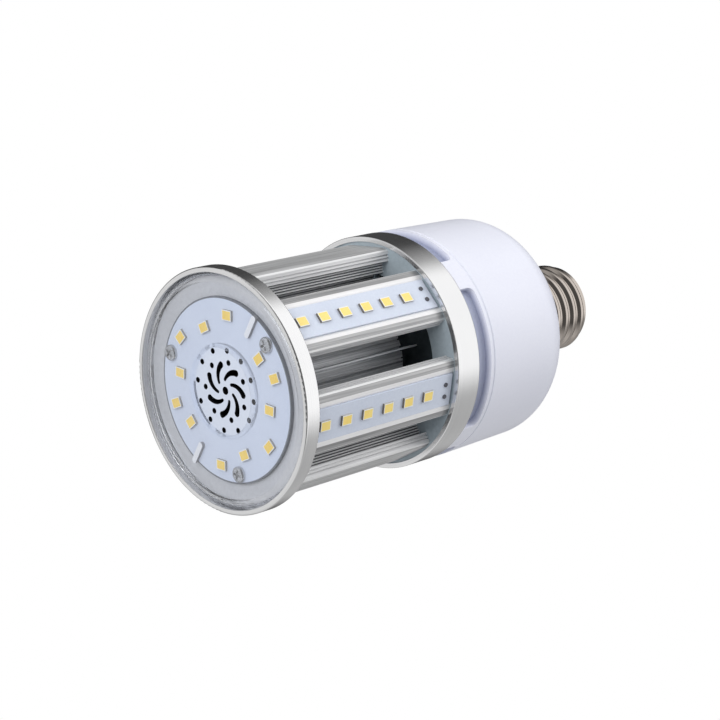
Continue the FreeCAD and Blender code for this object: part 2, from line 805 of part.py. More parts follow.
def fin_body(label, channel):
    half = fin_half(channel)
    corners = [(w, u) for u, w in half]
    corners += [(w, "-(" + u + ")") for u, w in reversed(half)]
    fin = new_body(label)
    sketch = sketch_on(fin, "XY_Plane", FIN_START)
    outline(sketch, corners)
    padded(fin, sketch, "fin_length")
    sketch = sketch_on(fin, "XY_Plane", FIN_START)
    circle_at(sketch, "screw_circle", "0", "port_radius")
    padded(fin, sketch, "fin_length")
    sketch = sketch_on(fin, "XY_Plane", REAR_FRONT)
    hollow = "leg_half - leg_wall - ridge_deep / 2"
    outline(sketch, [
        ("web_outer", "-(" + hollow + ")"),
        ("roof_under", "-(" + hollow + ")"),
        ("roof_under", hollow),
        ("web_outer", hollow),
    ])
    pocketed(fin, sketch, "fin_length")
    sketch = sketch_on(fin, "XY_Plane", REAR_FRONT)
    circle_at(sketch, "screw_circle", "0", "screw_radius")
    pocketed(fin, sketch, "fin_length")
    sketch = sketch_on(fin, "XY_Plane", REAR_FRONT)
    outline(sketch, [
        ("screw_circle - port_radius - 1", "-port_slit_half"),
        ("screw_circle", "-port_slit_half"),
        ("screw_circle", "port_slit_half"),
        ("screw_circle - port_radius - 1", "port_slit_half"),
    ])
    pocketed(fin, sketch, "fin_length")
    return fin


for members, channel in ((STRIPS, True), (PLAIN, False)):
    first = members[0]
    fin = fin_body("heatsink_fin_%d" % (first + 1), channel)
    place(fin, turn=STEP_ANGLE * first)
    NODES.append(fin)
    for number in members[1:]:
        one = repeat("heatsink_fin_%d" % (number + 1), fin)
        place(one, turn=STEP_ANGLE * (number - first))
        NODES.append(one)

# Core: a duct that stands on the front plate. A thin rib in a shallow recess faces the middle of each gap
# between the fins, with two grooves on each side of it.
core = new_body("core_tube")
CORE_END = "(front_ring_depth + core_length)"
revolved(core, [
    ("core_bore", FIN_START),
    ("core_radius", FIN_START),
    ("core_radius", CORE_END),
    ("core_bore", CORE_END),
])
sketch = sketch_on(core, "XY_Plane", CORE_END)
FLOOR = "(core_radius - core_groove_deep)"
CUTS = [
    ("0", "core_recess_half"),
    ("core_groove_angle", "core_groove_half"),
    ("-core_groove_angle", "core_groove_half"),
    ("core_line_angle", "core_line_half"),
    ("-core_line_angle", "core_line_half"),
]
for angle, half in CUTS:
    corners = []
    for reach, side in ((FLOOR, "-"), ("(core_radius + 1)", "-"), ("(core_radius + 1)", "+"), (FLOOR, "+")):
        back = "+" if side == "-" else "-"
        x = "%s * cos(%s) %s %s * sin(%s)" % (reach, angle, back, half, angle)
        y = "%s * sin(%s) %s %s * cos(%s)" % (reach, angle, side, half, angle)
        corners.append((x, y))
    outline(sketch, corners)
around(core, pocketed(core, sketch, "core_length"), FINS)
sketch = sketch_on(core, "XY_Plane", FIN_START)
outline(sketch, [
    ("(core_bore + core_radius - core_groove_deep) / 2", "-core_rib_half"),
    ("core_rib_reach", "-core_rib_half"),
    ("core_rib_reach", "core_rib_half"),
    ("(core_bore + core_radius - core_groove_deep) / 2", "core_rib_half"),
])
around(core, padded(core, sketch, "fin_length"), FINS)
place(core, turn=STEP_ANGLE / 2)
NODES.append(core)

# Strip boards: one in each channel, seated on its floor.
strip = box(
    "strip_board_1",
    ("strip_thick", "2 * strip_half", "strip_length"),
    ("strip_seat", "-strip_half", "front_ring_depth + strip_start"),
)
NODES.append(strip)
for number in STRIPS[1:]:
    one = repeat("strip_board_%d" % (number + 1), strip)
    place(one, turn=STEP_ANGLE * number)
    NODES.append(one)

# Diode package for the strips. It faces outward along +X.
tray = box("strip_tray", ("led_high", "led_wide", "led_long"), (STRIP_TOP, "-led_wide / 2", "-led_long / 2"))
WINDOW = ("led_fill", "led_wide - 2 * led_rim", "led_long - 2 * led_rim")
WINDOW_CORNER = (STRIP_TOP + " + led_high - led_fill", "led_rim - led_wide / 2", "led_rim - led_long / 2")
strip_window = box("strip_window", WINDOW, WINDOW_CORNER)
strip_fill = box("strip_fill", WINDOW, WINDOW_CORNER)
strip_package = cut("strip_package", tray, strip_window)
# A flat solder joint, two at the rear end of each strip.
OUTWARD = Vector(1, 0, 0)
JOINT_SPOT = (STRIP_TOP, "solder_half_gap", "0")
OTHER_SPOT = (STRIP_TOP, "-solder_half_gap", "0")
joint = rod("solder_joint", "solder_radius", "solder_high", JOINT_SPOT, OUTWARD)
other_joint = rod("solder_joint_b", "solder_radius", "solder_high", OTHER_SPOT, OUTWARD)
packages = []
fills = []
joints = []
for number in STRIPS:
    turn = STEP_ANGLE * number
    for step in range(STRIP_LEDS):
        level = "strip_led_first + %d * strip_led_pitch" % step
        tag = "_%d_%d" % (number + 1, step + 1)
        one = repeat("strip_package" + tag, strip_package)
        place(one, z=level, turn=turn)
        packages.append(one)
        two = repeat("strip_fill" + tag, strip_fill)
        place(two, z=level, turn=turn)
        fills.append(two)
    for side, source in enumerate((joint, other_joint)):
        one = repeat("solder_joint_%d_%d" % (number + 1, side + 1), source)
        place(one, z="front_ring_depth + strip_start + strip_length - solder_from_end", turn=turn)
        joints.append(one)
NODES.append(gathered("strip_led_packages", packages))
NODES.append(gathered("strip_led_phosphor", fills))
NODES.append(gathered("strip_solder_joints", joints))

# Rear plate: a wide opening with a lobe for each fin screw.
plate = new_body("rear_plate")
revolved(plate, [
    ("rear_opening", REAR_FRONT),
    (REAR_BORE, REAR_FRONT),
    (REAR_BORE, REAR_BACK),
    ("rear_opening", REAR_BACK),
])
sketch = sketch_on(plate, "XY_Plane", REAR_FRONT)
circle_at(sketch, "screw_circle", "0", "rear_lobe_radius")
around(plate, padded(plate, sketch, "rear_plate_thick"), FINS)
drilled(plate, "screw_circle", "0", SCREW_HOLE, REAR_BACK, "rear_plate_thick", FINS)
NODES.append(plate)

# Rear fin screws: driven from behind the plate into the fin ports.
screw = new_body("rear_fin_screw")
REAR_TIP = REAR_FRONT + " - screw_reach"
REAR_HEAD = REAR_BACK + " + screw_head_high"
revolved(screw, [
    ("0", REAR_TIP),
    ("screw_radius", REAR_TIP),
    ("screw_radius", REAR_BACK),
    ("screw_head_radius", REAR_BACK),
    ("screw_head_radius", REAR_HEAD, "screw_head_round"),
    ("0", REAR_HEAD),
])
screws = []
for number in range(FINS):
    one = repeat("rear_fin_screw_%d" % (number + 1), screw)
    x, y = polar("screw_circle", STEP_ANGLE * number)
    place(one, x, y)
    screws.append(one)
NODES.append(gathered("fin_screws_rear", screws))

# Rear ring: a polished band that stands a little proud of the rear plate.
ring = new_body("rear_ring")
revolved(ring, [
    (REAR_BORE, RING_FRONT),
    ("ring_radius", RING_FRONT, "ring_edge / 2"),
    ("ring_radius", RING_BACK, "ring_edge / 2"),
    (REAR_BORE, RING_BACK),
])
NODES.append(ring)

# Vent collar: a spigot inside the ring, an outer band with long notches and a ledge for the driver board.
collar = new_body("vent_collar")
SPIGOT = REAR_BORE + " - collar_clearance"
revolved(collar, [
    ("collar_ledge", REAR_BACK),
    (SPIGOT, REAR_BACK),
    (SPIGOT, RING_BACK),
    ("collar_radius", RING_BACK),
    ("collar_radius", SEAM + " - seam_chamfer"),
    ("collar_radius - seam_chamfer", SEAM),
    ("collar_bore", SEAM),
    ("collar_bore", DRIVER_BACK),
    ("collar_ledge", DRIVER_BACK),
])
sketch = sketch_on(collar, "XZ_Plane")
outline(sketch, [
    ("notch_floor", RING_BACK),
    ("collar_radius + 1", RING_BACK),
    ("collar_radius + 1", RING_BACK + " + notch_depth"),
    ("notch_floor", RING_BACK + " + notch_depth"),
])
before = collar.Shape.Volume
notch = collar.newObject("PartDesign::Groove", "notch")
notch.Profile = sketch
notch.ReferenceAxis = (sketch, ["V_Axis"])
bind(notch, "Angle", "notch_span")
doc.recompute()
if not collar.Shape.Volume < before - 1e-4:
    raise ValueError("empty notch")
around(collar, notch, NOTCHES)
# The two rear corners of each notch are rounded.
steps = []
for index, edge in enumerate(collar.Shape.Edges):
    ends = [corner.Point for corner in edge.Vertexes]
    if len(ends) == 2 and isinstance(edge.Curve, Part.Line) and abs(ends[0].z - ends[1].z) < 1e-6:
        steps.append((ends[0].z, "Edge%d" % (index + 1)))
rear = max(level for level, name in steps)
notched = collar.Tip
corners = collar.newObject("PartDesign::Fillet", "notch_corners")
corners.Base = (notched, [name for level, name in steps if level > rear - 1e-6])
bind(corners, "Radius", "notch_round")
doc.recompute()
if len(corners.Base[1]) != 2 * NOTCHES or not corners.Shape.isValid():
    raise ValueError("notch corners")
place(collar, turn="notch_angle - notch_span / 2")
NODES.append(collar)

# Driver housing: a tapered shell with a rounded shoulder, a lip inside the collar and a neck for the cap.
housing = new_body("driver_housing")
LIP = "(collar_bore - lip_clearance)"
revolved(housing, [
    (LIP + " - lip_wall", LIP_END),
    (LIP, LIP_END),
    (LIP, SEAM),
    ("collar_radius - seam_chamfer", SEAM),
    ("collar_radius", SEAM + " + seam_chamfer"),
    ("housing_shoulder_radius", SHOULDER, "shoulder_round"),
    ("neck_radius", SHOULDER, "neck_round"),
    ("neck_radius", CAP_SEAT),
    ("cap_bore", CAP_SEAT),
    ("cap_bore", CAP_SEAT + " + spigot_length"),
    ("neck_bore", CAP_SEAT + " + spigot_length"),
    ("neck_bore", SHOULDER + " - housing_wall"),
    ("housing_shoulder_radius - housing_wall", SHOULDER + " - housing_wall", "shoulder_round - housing_wall"),
    ("collar_radius - housing_wall", SEAM + " + 2 * lip_wall"),
    (LIP + " - lip_wall", SEAM + " + lip_wall"),
])
NODES.append(housing)

# Screw shell: a thin skirted shell with a rolled right-hand thread.
shell = new_body("screw_shell")
revolved(shell, [
    ("cap_bore", CAP_SEAT),
    ("cap_skirt", CAP_SEAT),
    ("cap_skirt", CAP_SEAT + " + cap_skirt_length - (cap_skirt - cap_core)"),
    ("cap_core", CAP_SEAT + " + cap_skirt_length"),
    ("cap_core", CAP_BEND),
    ("cap_end_radius", CAP_END),
    ("cap_end_radius - cap_end_wall", CAP_END),
    ("cap_bore", CAP_BEND),
])
sketch = sketch_on(shell, "XZ_Plane")
THREAD = "(%s + cap_skirt_length + thread_half * 0.4)" % CAP_SEAT
outline(sketch, [
    ("cap_core - thread_root_bite", THREAD + " - thread_half"),
    ("thread_crest", THREAD + " - thread_flat_half", "thread_round"),
    ("thread_crest", THREAD + " + thread_flat_half", "thread_round"),
    ("cap_core - thread_root_bite", THREAD + " + thread_half"),
])
thread = shell.newObject("PartDesign::AdditiveHelix", "thread")
thread.Profile = sketch
thread.ReferenceAxis = (sketch, ["V_Axis"])
thread.Mode = 0
bind(thread, "Pitch", "thread_pitch")
bind(thread, "Height", "thread_pitch * thread_turns")
thread.Angle = 0
doc.recompute()
NODES.append(shell)

# Cap insulator: fills the shell's end round the contact.
insulator = new_body("cap_insulator")
revolved(insulator, [
    ("stem_radius", PLUG_START),
    ("cap_bore", PLUG_START),
    ("cap_bore", CAP_BEND),
    ("cap_end_radius - cap_end_wall", CAP_END),
    ("insulator_top", INSULATOR_END),
    ("stem_radius", INSULATOR_END),
])
NODES.append(insulator)

# Centre contact: a low round button with a stem through the insulator.
contact = new_body("centre_contact")
STEM_END = "(%s - stem_over)" % PLUG_START
revolved(contact, [
    ("0", STEM_END),
    ("stem_radius", STEM_END),
    ("stem_radius", INSULATOR_END),
    ("contact_radius", INSULATOR_END),
    ("contact_radius", INSULATOR_END + " + contact_high", "contact_round"),
    ("0", INSULATOR_END + " + contact_high"),
])
NODES.append(contact)

# Driver board: a round board clamped between the collar's ledge and the housing's lip.
driver = rod("driver_board", "collar_bore - driver_clearance", "driver_thick", ("0", "0", DRIVER_BACK))
NODES.append(driver)

# Transformer: a closed core with a wound coil through its window.
CORE = ("core_deep", "core_long", "core_high")
core_block = box("core_block", CORE, ("-8 - core_deep / 2", "2 - core_long / 2", LIP_END))
COIL = ("coil_deep", "core_long - 2 * core_limb", "core_high - 2 * core_limb")
COIL_CORNER = ("-8 - coil_deep / 2", "2 - core_long / 2 + core_limb", LIP_END + " + core_limb")
core_window = box("core_window", COIL, COIL_CORNER)
NODES.append(cut("transformer_core", core_block, core_window))
NODES.append(box("transformer_coil", COIL, COIL_CORNER))

# Capacitors, varistor, rectifier, transistor and fuse stand on the driver board.
NODES.append(rod("input_capacitor", "input_can_radius", "input_can_high", ("11", "11", LIP_END)))
can_a = rod("output_can_a", "output_can_radius", "output_can_high", ("14.4", "-6", LIP_END))
can_b = rod("output_can_b", "output_can_radius", "output_can_high", ("5.6", "-6.4", LIP_END))
NODES.append(gathered("output_capacitors", [can_a, can_b]))
FILM = ("film_long", "film_wide", "film_high")
NODES.append(box("film_capacitor", FILM, ("1", "-12 - film_wide", LIP_END)))
NODES.append(rod(
    "varistor",
    "varistor_radius",
    "varistor_thick",
    ("-5.5", "-17", LIP_END + " + varistor_radius"),
    Vector(0, 1, 0),
))
BRIDGE = ("bridge_long", "bridge_wide", "bridge_high")
NODES.append(box("bridge_rectifier", BRIDGE, ("-18", "-14", LIP_END)))
NODES.append(box(
    "switch_transistor",
    ("transistor_thick", "transistor_wide", "transistor_high"),
    ("-17 - transistor_thick", "-4", LIP_END),
))
FUSE_SPOT = ("19", "-2", LIP_END + " + fuse_radius")
NODES.append(rod("input_fuse", "fuse_radius", "fuse_long", FUSE_SPOT, Vector(0, 1, 0)))

# Live lead: from the driver board up the neck to the contact's stem.
LIVE_BEND = STEM_END + " - 2"
live = [
    rod("live_run", "wire_radius", LIVE_BEND + " - " + LIP_END, ("live_offset", "0", LIP_END)),
    ball("live_bend", "wire_radius", ("live_offset", "0", LIVE_BEND)),
    rod("live_cross", "wire_radius", "live_offset", ("0", "0", LIVE_BEND), Vector(1, 0, 0)),
    ball("live_turn", "wire_radius", ("0", "0", LIVE_BEND)),
    rod("live_end", "wire_radius", "2", ("0", "0", LIVE_BEND)),
]
NODES.append(joined("live_lead", live))

# Neutral lead: from the driver board to the inside of the screw shell.
NEUTRAL_BEND = "(%s + spigot_length + 3)" % CAP_SEAT
neutral = [
    rod("neutral_run", "wire_radius", NEUTRAL_BEND + " - " + LIP_END, ("neutral_offset", "0", LIP_END)),
    ball("neutral_bend", "wire_radius", ("neutral_offset", "0", NEUTRAL_BEND)),
    rod(
        "neutral_cross",
        "wire_radius",
        "sqrt(cap_bore * cap_bore - wire_radius * wire_radius) - neutral_offset",
        ("neutral_offset", "0", NEUTRAL_BEND),
        Vector(1, 0, 0),
    ),
]
NODES.append(joined("neutral_lead", neutral))

# Output leads: straight runs from the driver board to the terminals on the front board.
LEAD_LONG = DRIVER_BACK + " - " + BOARD_FRONT
for number, name in enumerate(("output_lead_plus", "output_lead_minus")):
    x, y = polar("wire_circle", "(terminal_angle + %d)" % (180 * number))
    NODES.append(rod(name, "wire_radius", LEAD_LONG, (x, y, BOARD_FRONT)))

doc.recompute()
for thing in doc.Objects:
    if "Invalid" in thing.State or "Error" in thing.State:
        raise ValueError("not built: " + thing.Label)
os.makedirs("parts", exist_ok=True)
for node in NODES:
    shape = node.Shape
    if shape.isNull() or not shape.isValid():
        raise ValueError("bad shape: " + node.Label)
    solids = shape.Solids
    if not solids:
        raise ValueError("no solid: " + node.Label)
    whole = solids[0] if len(solids) == 1 else Part.makeCompound(solids)
    whole.exportStep("parts/%s.step" % node.Label)
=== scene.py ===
import json
import math

import bpy
from mathutils import Matrix, Vector

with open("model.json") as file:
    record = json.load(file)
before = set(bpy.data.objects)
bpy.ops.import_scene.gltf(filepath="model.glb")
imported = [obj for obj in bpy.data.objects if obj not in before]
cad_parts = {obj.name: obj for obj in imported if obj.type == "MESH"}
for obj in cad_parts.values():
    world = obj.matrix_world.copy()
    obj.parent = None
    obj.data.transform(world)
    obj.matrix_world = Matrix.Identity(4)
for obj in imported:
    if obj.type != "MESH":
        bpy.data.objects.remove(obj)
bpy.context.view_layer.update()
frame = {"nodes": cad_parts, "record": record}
nodes = frame["nodes"]
scene = bpy.context.scene
scene.view_settings.view_transform = "Standard"

MM = 0.001

# The fins and the ridges on their sides, in mm.
FINS = 7
RIDGE_FIRST = 25.68
RIDGE_PITCH = 0.72

# Where one look changes to the next: the start and the end of the change, in mm. Grooves are measured from
# the nearest ridge, rails and flanges from their fin's middle plane, and all the rest outward from the axis.
# The groove, flange edge, core bore, vent, board edge and notch floor bands mark where painted shade or a
# painted highlight begins.
GROOVE_SHADE = (0.18, 0.26)
RAIL_EDGE = (6.04, 6.12)
FLANGE_HIGHLIGHT = (7.72, 7.8)
RIDGES_END = (26.0, 26.2)
FIN_FACE = (29.2, 29.4)
CORE_BORE_SHADE = (12.4, 12.6)
VENT_SHADE_END = (12.0, 13.0)
BOARD_EDGE_SHADE = (24.5, 24.6)
COVER_FLAT = (28.8, 29.2)
NOTCH_SHADE = (30.9, 32.6)

# Noise: its scale in the brushed marks, the die lines and their broad bands, how far the last two are drawn
# out along the axis, and the part of its range that a tone or a roughness is spread over.
BRUSH_SCALE = 9000.0
DIE_SCALE = 2600.0
DIE_DRAWN = (1.0, 1.0, 0.012)
DIE_SPREAD = (0.32, 0.68)
BAND_SCALE = 600.0
BAND_DRAWN = (1.0, 1.0, 0.03)
TONE_SPREAD = (0.3, 0.7)
ROUGH_SPREAD = (0.2, 0.8)

# Strength and depth of the bump.
GRAIN_BUMP = 0.05
GRAIN_DEEP = 0.02 * MM
DIE_BUMP = 0.2
DIE_DEEP = 0.03 * MM

# How much of a turn counts in marks that run round the axis.
TURN_SHARE = 0.02 * MM

# Camera: the photograph's place and lens, in the lamp's own frame.
CAMERA_AT = Vector((0.35996, 0.15087, -0.31794))
CAMERA_RIGHT = Vector((0.5181, 0.4875, 0.7027))
CAMERA_UP = Vector((0.5312, -0.8274, 0.1823))
LENS_MM = 96.55
SENSOR_MM = 36.0
NEAR_CLIP = 0.01
FAR_CLIP = 20.0

# The studio that metal and glass see. Its walls stand round the lamp's axis, and each row gives a share of
# the turn and how bright it is there. Its front and rear are bands of the direction's part along the axis.
STUDIO_WALLS = (
    (0.001, 0.38),
    (0.09, 0.42),
    (0.18, 0.04),
    (0.42, 0.04),
    (0.50, 0.35),
    (0.55, 1.0),
    (0.83, 1.0),
    (0.90, 0.42),
    (0.999, 0.38),
)
STUDIO_TURN = 1.0
STUDIO_LEVEL = 1.12
FRONT_BAND = (-0.4, -0.1)
FRONT_DARK_AT = 0.22
FRONT_DARK_BAND = (0.16, 0.26)
FRONT_LEVELS = (0.10, 0.66)
REAR_BAND = (0.78, 0.86)
REAR_LEVEL = 0.03
GLASS_PALER = 0.4

# The soft light on everything else, from below to above as the photograph stands.
SOFT_TINT = (0.97, 0.98, 1.0)
SOFT_BAND = (-0.7, 0.7)
SOFT_LEVELS = (0.45, 0.71)

WHITE = (1.0, 1.0, 1.0)
LAMP_MIDDLE = Vector((0.0, 0.0, 0.07))
FLOOR_HALF = 3.0
FLOOR_DROP = 0.2 * MM
FLOOR_FADE = (0.12, 0.5)


def set_camera():
    data = bpy.data.cameras.new("camera")
    data.lens = LENS_MM
    data.sensor_width = SENSOR_MM
    data.sensor_fit = "HORIZONTAL"
    data.clip_start = NEAR_CLIP
    data.clip_end = FAR_CLIP
    camera = bpy.data.objects.new("camera", data)
    scene.collection.objects.link(camera)
    right = CAMERA_RIGHT.normalized()
    back = right.cross(CAMERA_UP).normalized()
    up = back.cross(right)
    turn = Matrix((right, up, back)).transposed().to_4x4()
    camera.matrix_world = Matrix.Translation(CAMERA_AT) @ turn
    scene.camera = camera
    return right, up, back


RIGHT, UP, BACK = set_camera()


class Tree:
    # A small helper that adds shader nodes and links them. A colour is a socket or three numbers.
    def __init__(self, name, world=False):
        self.owner = bpy.data.worlds.new(name) if world else bpy.data.materials.new(name)
        self.owner.use_nodes = True
        self.tree = self.owner.node_tree
        self.tree.nodes.clear()
        self.out = self.add("ShaderNodeOutputWorld" if world else "ShaderNodeOutputMaterial")

    def add(self, kind, **values):
        node = self.tree.nodes.new(kind)
        for key, value in values.items():
            setattr(node, key, value)
        return node

    def link(self, source, target):
        self.tree.links.new(source, target)

    def put(self, node, name, value):
        if hasattr(value, "is_linked"):
            self.link(value, node.inputs[name])
        elif isinstance(value, tuple):
            node.inputs[name].default_value = (*value, 1.0)
        else:
            node.inputs[name].default_value = value

    def math(self, operation, a, b=0.0):
        node = self.add("ShaderNodeMath", operation=operation)
        self.put(node, 0, a)
        self.put(node, 1, b)
        return node.outputs[0]

    def wrap(self, value, half):
        node = self.add("ShaderNodeMath", operation="WRAP")
        self.put(node, 0, value)
        self.put(node, 1, half)
        self.put(node, 2, -half)
        return node.outputs[0]

    def sum(self, a, share, b):
        return self.math("ADD", self.math("MULTIPLY", a, share), self.math("MULTIPLY", b, 1.0 - share))

    def mix(self, factor, a, b):
        node = self.add("ShaderNodeMix", data_type="RGBA")
        self.put(node, 0, factor)
        self.put(node, 6, a)
        self.put(node, 7, b)
        return node.outputs[2]

    def ramp(self, value, low, high, to_low=0.0, to_high=1.0):
        node = self.add("ShaderNodeMapRange")
        for place, number in enumerate((value, low, high, to_low, to_high)):
            self.put(node, place, number)
        return node.outputs[0]

    def coordinates(self, kind):
        return self.add("ShaderNodeTexCoord").outputs[kind]

    def place(self):
        return self.coordinates("Object")

    def split(self, vector):
        node = self.add("ShaderNodeSeparateXYZ")
        self.link(vector, node.inputs[0])
        return node.outputs

    def join(self, *numbers):
        node = self.add("ShaderNodeCombineXYZ")
        for place, number in enumerate(numbers):
            self.link(number, node.inputs[place])
        return node.outputs[0]

    def upright(self):
        # One on faces across the lamp's axis, zero on faces along it.
        return self.math("ABSOLUTE", self.split(self.coordinates("Normal"))[2])

    def scaled(self, vector, scale):
        node = self.add("ShaderNodeMapping")
        self.link(vector, node.inputs["Vector"])
        node.inputs["Scale"].default_value = scale
        return node.outputs[0]

    def noise(self, vector, scale, detail=3.0, rough=0.5):
        node = self.add("ShaderNodeTexNoise")
        self.link(vector, node.inputs["Vector"])
        node.inputs["Scale"].default_value = scale
        node.inputs["Detail"].default_value = detail
        node.inputs["Roughness"].default_value = rough
        return node.outputs["Fac"]

    def grain(self, scale):
        return self.noise(self.place(), scale, 4.0, 0.6)

    def die_lines(self):
        return self.noise(self.scaled(self.place(), DIE_DRAWN), DIE_SCALE)

    def polar(self):
        # Distance from the lamp's axis, angle round it and height along it.
        parts = self.split(self.place())
        length = self.add("ShaderNodeVectorMath", operation="LENGTH")
        self.link(self.join(parts[0], parts[1]), length.inputs[0])
        return length.outputs["Value"], self.math("ARCTAN2", parts[1], parts[0]), parts[2]

    def around(self):
        # Distance, height and a little of the angle, for marks that run round the axis.
        distance, angle, height = self.polar()
        return self.join(distance, self.math("MULTIPLY", angle, TURN_SHARE), height)

    def reach(self):
        # Distance from the lamp's axis in mm.
        return self.math("DIVIDE", self.polar()[0], MM)

    def fin_section(self):
        # Distance from the middle plane of the nearest fin, and distance outward along it, in mm.
        distance, angle = self.polar()[:2]
        reach = self.math("DIVIDE", distance, MM)
        near = self.wrap(angle, math.pi / FINS)
        across = self.math("ABSOLUTE", self.math("MULTIPLY", reach, self.math("SINE", near)))
        return across, self.math("MULTIPLY", reach, self.math("COSINE", near))

    def bump(self, height, strength, distance):
        node = self.add("ShaderNodeBump")
        self.link(height, node.inputs["Height"])
        node.inputs["Strength"].default_value = strength
        node.inputs["Distance"].default_value = distance
        return node.outputs[0]

    def surface(self, **values):
        shader = self.add("ShaderNodeBsdfPrincipled")
        for name, value in values.items():
            self.put(shader, name.replace("_", " "), value)
        return shader

    def dress(self, paint, rough, height, metal=0.0, bump=GRAIN_BUMP, depth=GRAIN_DEEP):
        shader = self.surface(Base_Color=paint, Roughness=rough, Metallic=metal)
        self.link(self.bump(height, bump, depth), shader.inputs["Normal"])
        return self.finish(shader.outputs[0])

    def blend(self, factor, a, b):
        node = self.add("ShaderNodeMixShader")
        self.link(factor, node.inputs[0])
        self.link(a, node.inputs[1])
        self.link(b, node.inputs[2])
        return node.outputs[0]

    def light(self, paint, strength):
        node = self.add("ShaderNodeBackground")
        self.put(node, 0, paint)
        self.put(node, 1, strength)
        return node.outputs[0]

    def finish(self, shader):
        self.link(shader, self.out.inputs["Surface"])
        return self.owner


def brushed_round(name, dark, light, rough_low, rough_high):
    # Metal with fine marks that run round the axis.
    t = Tree(name)
    fine = t.noise(t.around(), BRUSH_SCALE, 2.0)
    tone = t.sum(fine, 0.75, t.noise(t.place(), 60.0))
    paint = t.mix(t.ramp(tone, *TONE_SPREAD), dark, light)
    rough = t.ramp(tone, 0.25, 0.75, rough_low, rough_high)
    return t.dress(paint, rough, fine, metal=1.0, bump=0.12)


def speckled(name, dark, light, scale, rough, metal=0.0, bump=GRAIN_BUMP):
    # A plain surface with a fine mottle.
    t = Tree(name)
    fine = t.grain(scale)
    tone = t.sum(fine, 0.6, t.noise(t.place(), scale * 0.05, 2.0))
    paint = t.mix(t.ramp(tone, *TONE_SPREAD), dark, light)
    uneven = t.ramp(fine, *ROUGH_SPREAD, rough * 0.85, rough * 1.15)
    return t.dress(paint, uneven, fine, metal, bump)


def fin_metal(name, face_dark, face_light, face_metal, rails=False):
    # Extruded metal with die lines along the axis and painted shade in the grooves between the ridges.
    # The outer face is brushed, with a painted highlight along its edges and, beside a strip, paler rails.
    t = Tree(name)
    across, outward = t.fin_section()
    fine = t.die_lines()
    broad = t.noise(t.scaled(t.place(), BAND_DRAWN), BAND_SCALE, 2.0)
    tone = t.ramp(t.sum(fine, 0.6, broad), *DIE_SPREAD)
    crest = t.math("ABSOLUTE", t.wrap(t.math("SUBTRACT", outward, RIDGE_FIRST), RIDGE_PITCH / 2))
    ridged = t.ramp(outward, *RIDGES_END, 1.0, 0.0)
    # Painted shade: the grooves between the ridges are darkened towards near black.
    groove_shade = t.math("MULTIPLY", t.ramp(crest, *GROOVE_SHADE), ridged)
    side = t.mix(groove_shade, t.mix(tone, (0.56, 0.56, 0.57), (0.95, 0.95, 0.95)), (0.10, 0.10, 0.11))
    outer = t.ramp(outward, *FIN_FACE)
    paint = t.mix(outer, side, t.mix(tone, face_dark, face_light))
    # Painted highlight along the outer edges of the flanges.
    edge_highlight = t.math("MULTIPLY", outer, t.ramp(across, *FLANGE_HIGHLIGHT))
    paint = t.mix(edge_highlight, paint, t.mix(tone, (0.80, 0.80, 0.80), (0.92, 0.92, 0.92)))
    metal = t.ramp(outer, 0.0, 1.0, 0.2, face_metal)
    if rails:
        rail = t.math("MULTIPLY", outer, t.ramp(across, *RAIL_EDGE, 1.0, 0.0))
        paint = t.mix(rail, paint, t.mix(tone, (0.82, 0.81, 0.81), (0.94, 0.93, 0.93)))
        metal = t.math("SUBTRACT", metal, t.math("MULTIPLY", rail, 0.5))
    return t.dress(paint, t.ramp(tone, 0.0, 1.0, 0.40, 0.52), fine, metal, DIE_BUMP, DIE_DEEP)


def core_metal(name):
    # Extruded metal of the core, with painted shade in its bore.
    t = Tree(name)
    fine = t.die_lines()
    tone = t.ramp(fine, *DIE_SPREAD)
    skin = t.mix(tone, (0.30, 0.31, 0.33), (0.74, 0.75, 0.77))
    # Painted shade: the bore is near black.
    paint = t.mix(t.ramp(t.reach(), *CORE_BORE_SHADE), (0.012, 0.012, 0.014), skin)
    return t.dress(paint, t.ramp(tone, 0.0, 1.0, 0.36, 0.5), fine, 0.5, DIE_BUMP, DIE_DEEP)


def led_body(name, on_strip):
    # White moulded package. Its ends carry the grey-brown leads, and its flanks take the same colour as
    # painted shade.
    t = Tree(name)
    fine = t.grain(2500.0)
    if on_strip:
        outward = t.add("ShaderNodeVectorMath", operation="DOT_PRODUCT")
        t.link(t.coordinates("Normal"), outward.inputs[0])
        t.link(t.place(), outward.inputs[1])
        # Painted shade on the flanks of a strip package.
        flank_shade = t.ramp(outward.outputs["Value"], 8.0 * MM, 12.0 * MM, 0.55, 0.0)
        side = t.math("MAXIMUM", t.ramp(t.upright(), 0.7, 0.8), flank_shade)
    else:
        # All sides of a front package: the leads and painted shade.
        side = t.ramp(t.upright(), 0.2, 0.3, 0.8, 0.0)
    tone = t.ramp(fine, *TONE_SPREAD)
    body = t.mix(tone, (0.82, 0.82, 0.80), (0.92, 0.92, 0.90))
    lead_and_shade = t.mix(tone, (0.10, 0.09, 0.08), (0.20, 0.18, 0.16))
    return t.dress(t.mix(side, body, lead_and_shade), t.ramp(fine, *ROUGH_SPREAD, 0.38, 0.5), fine)


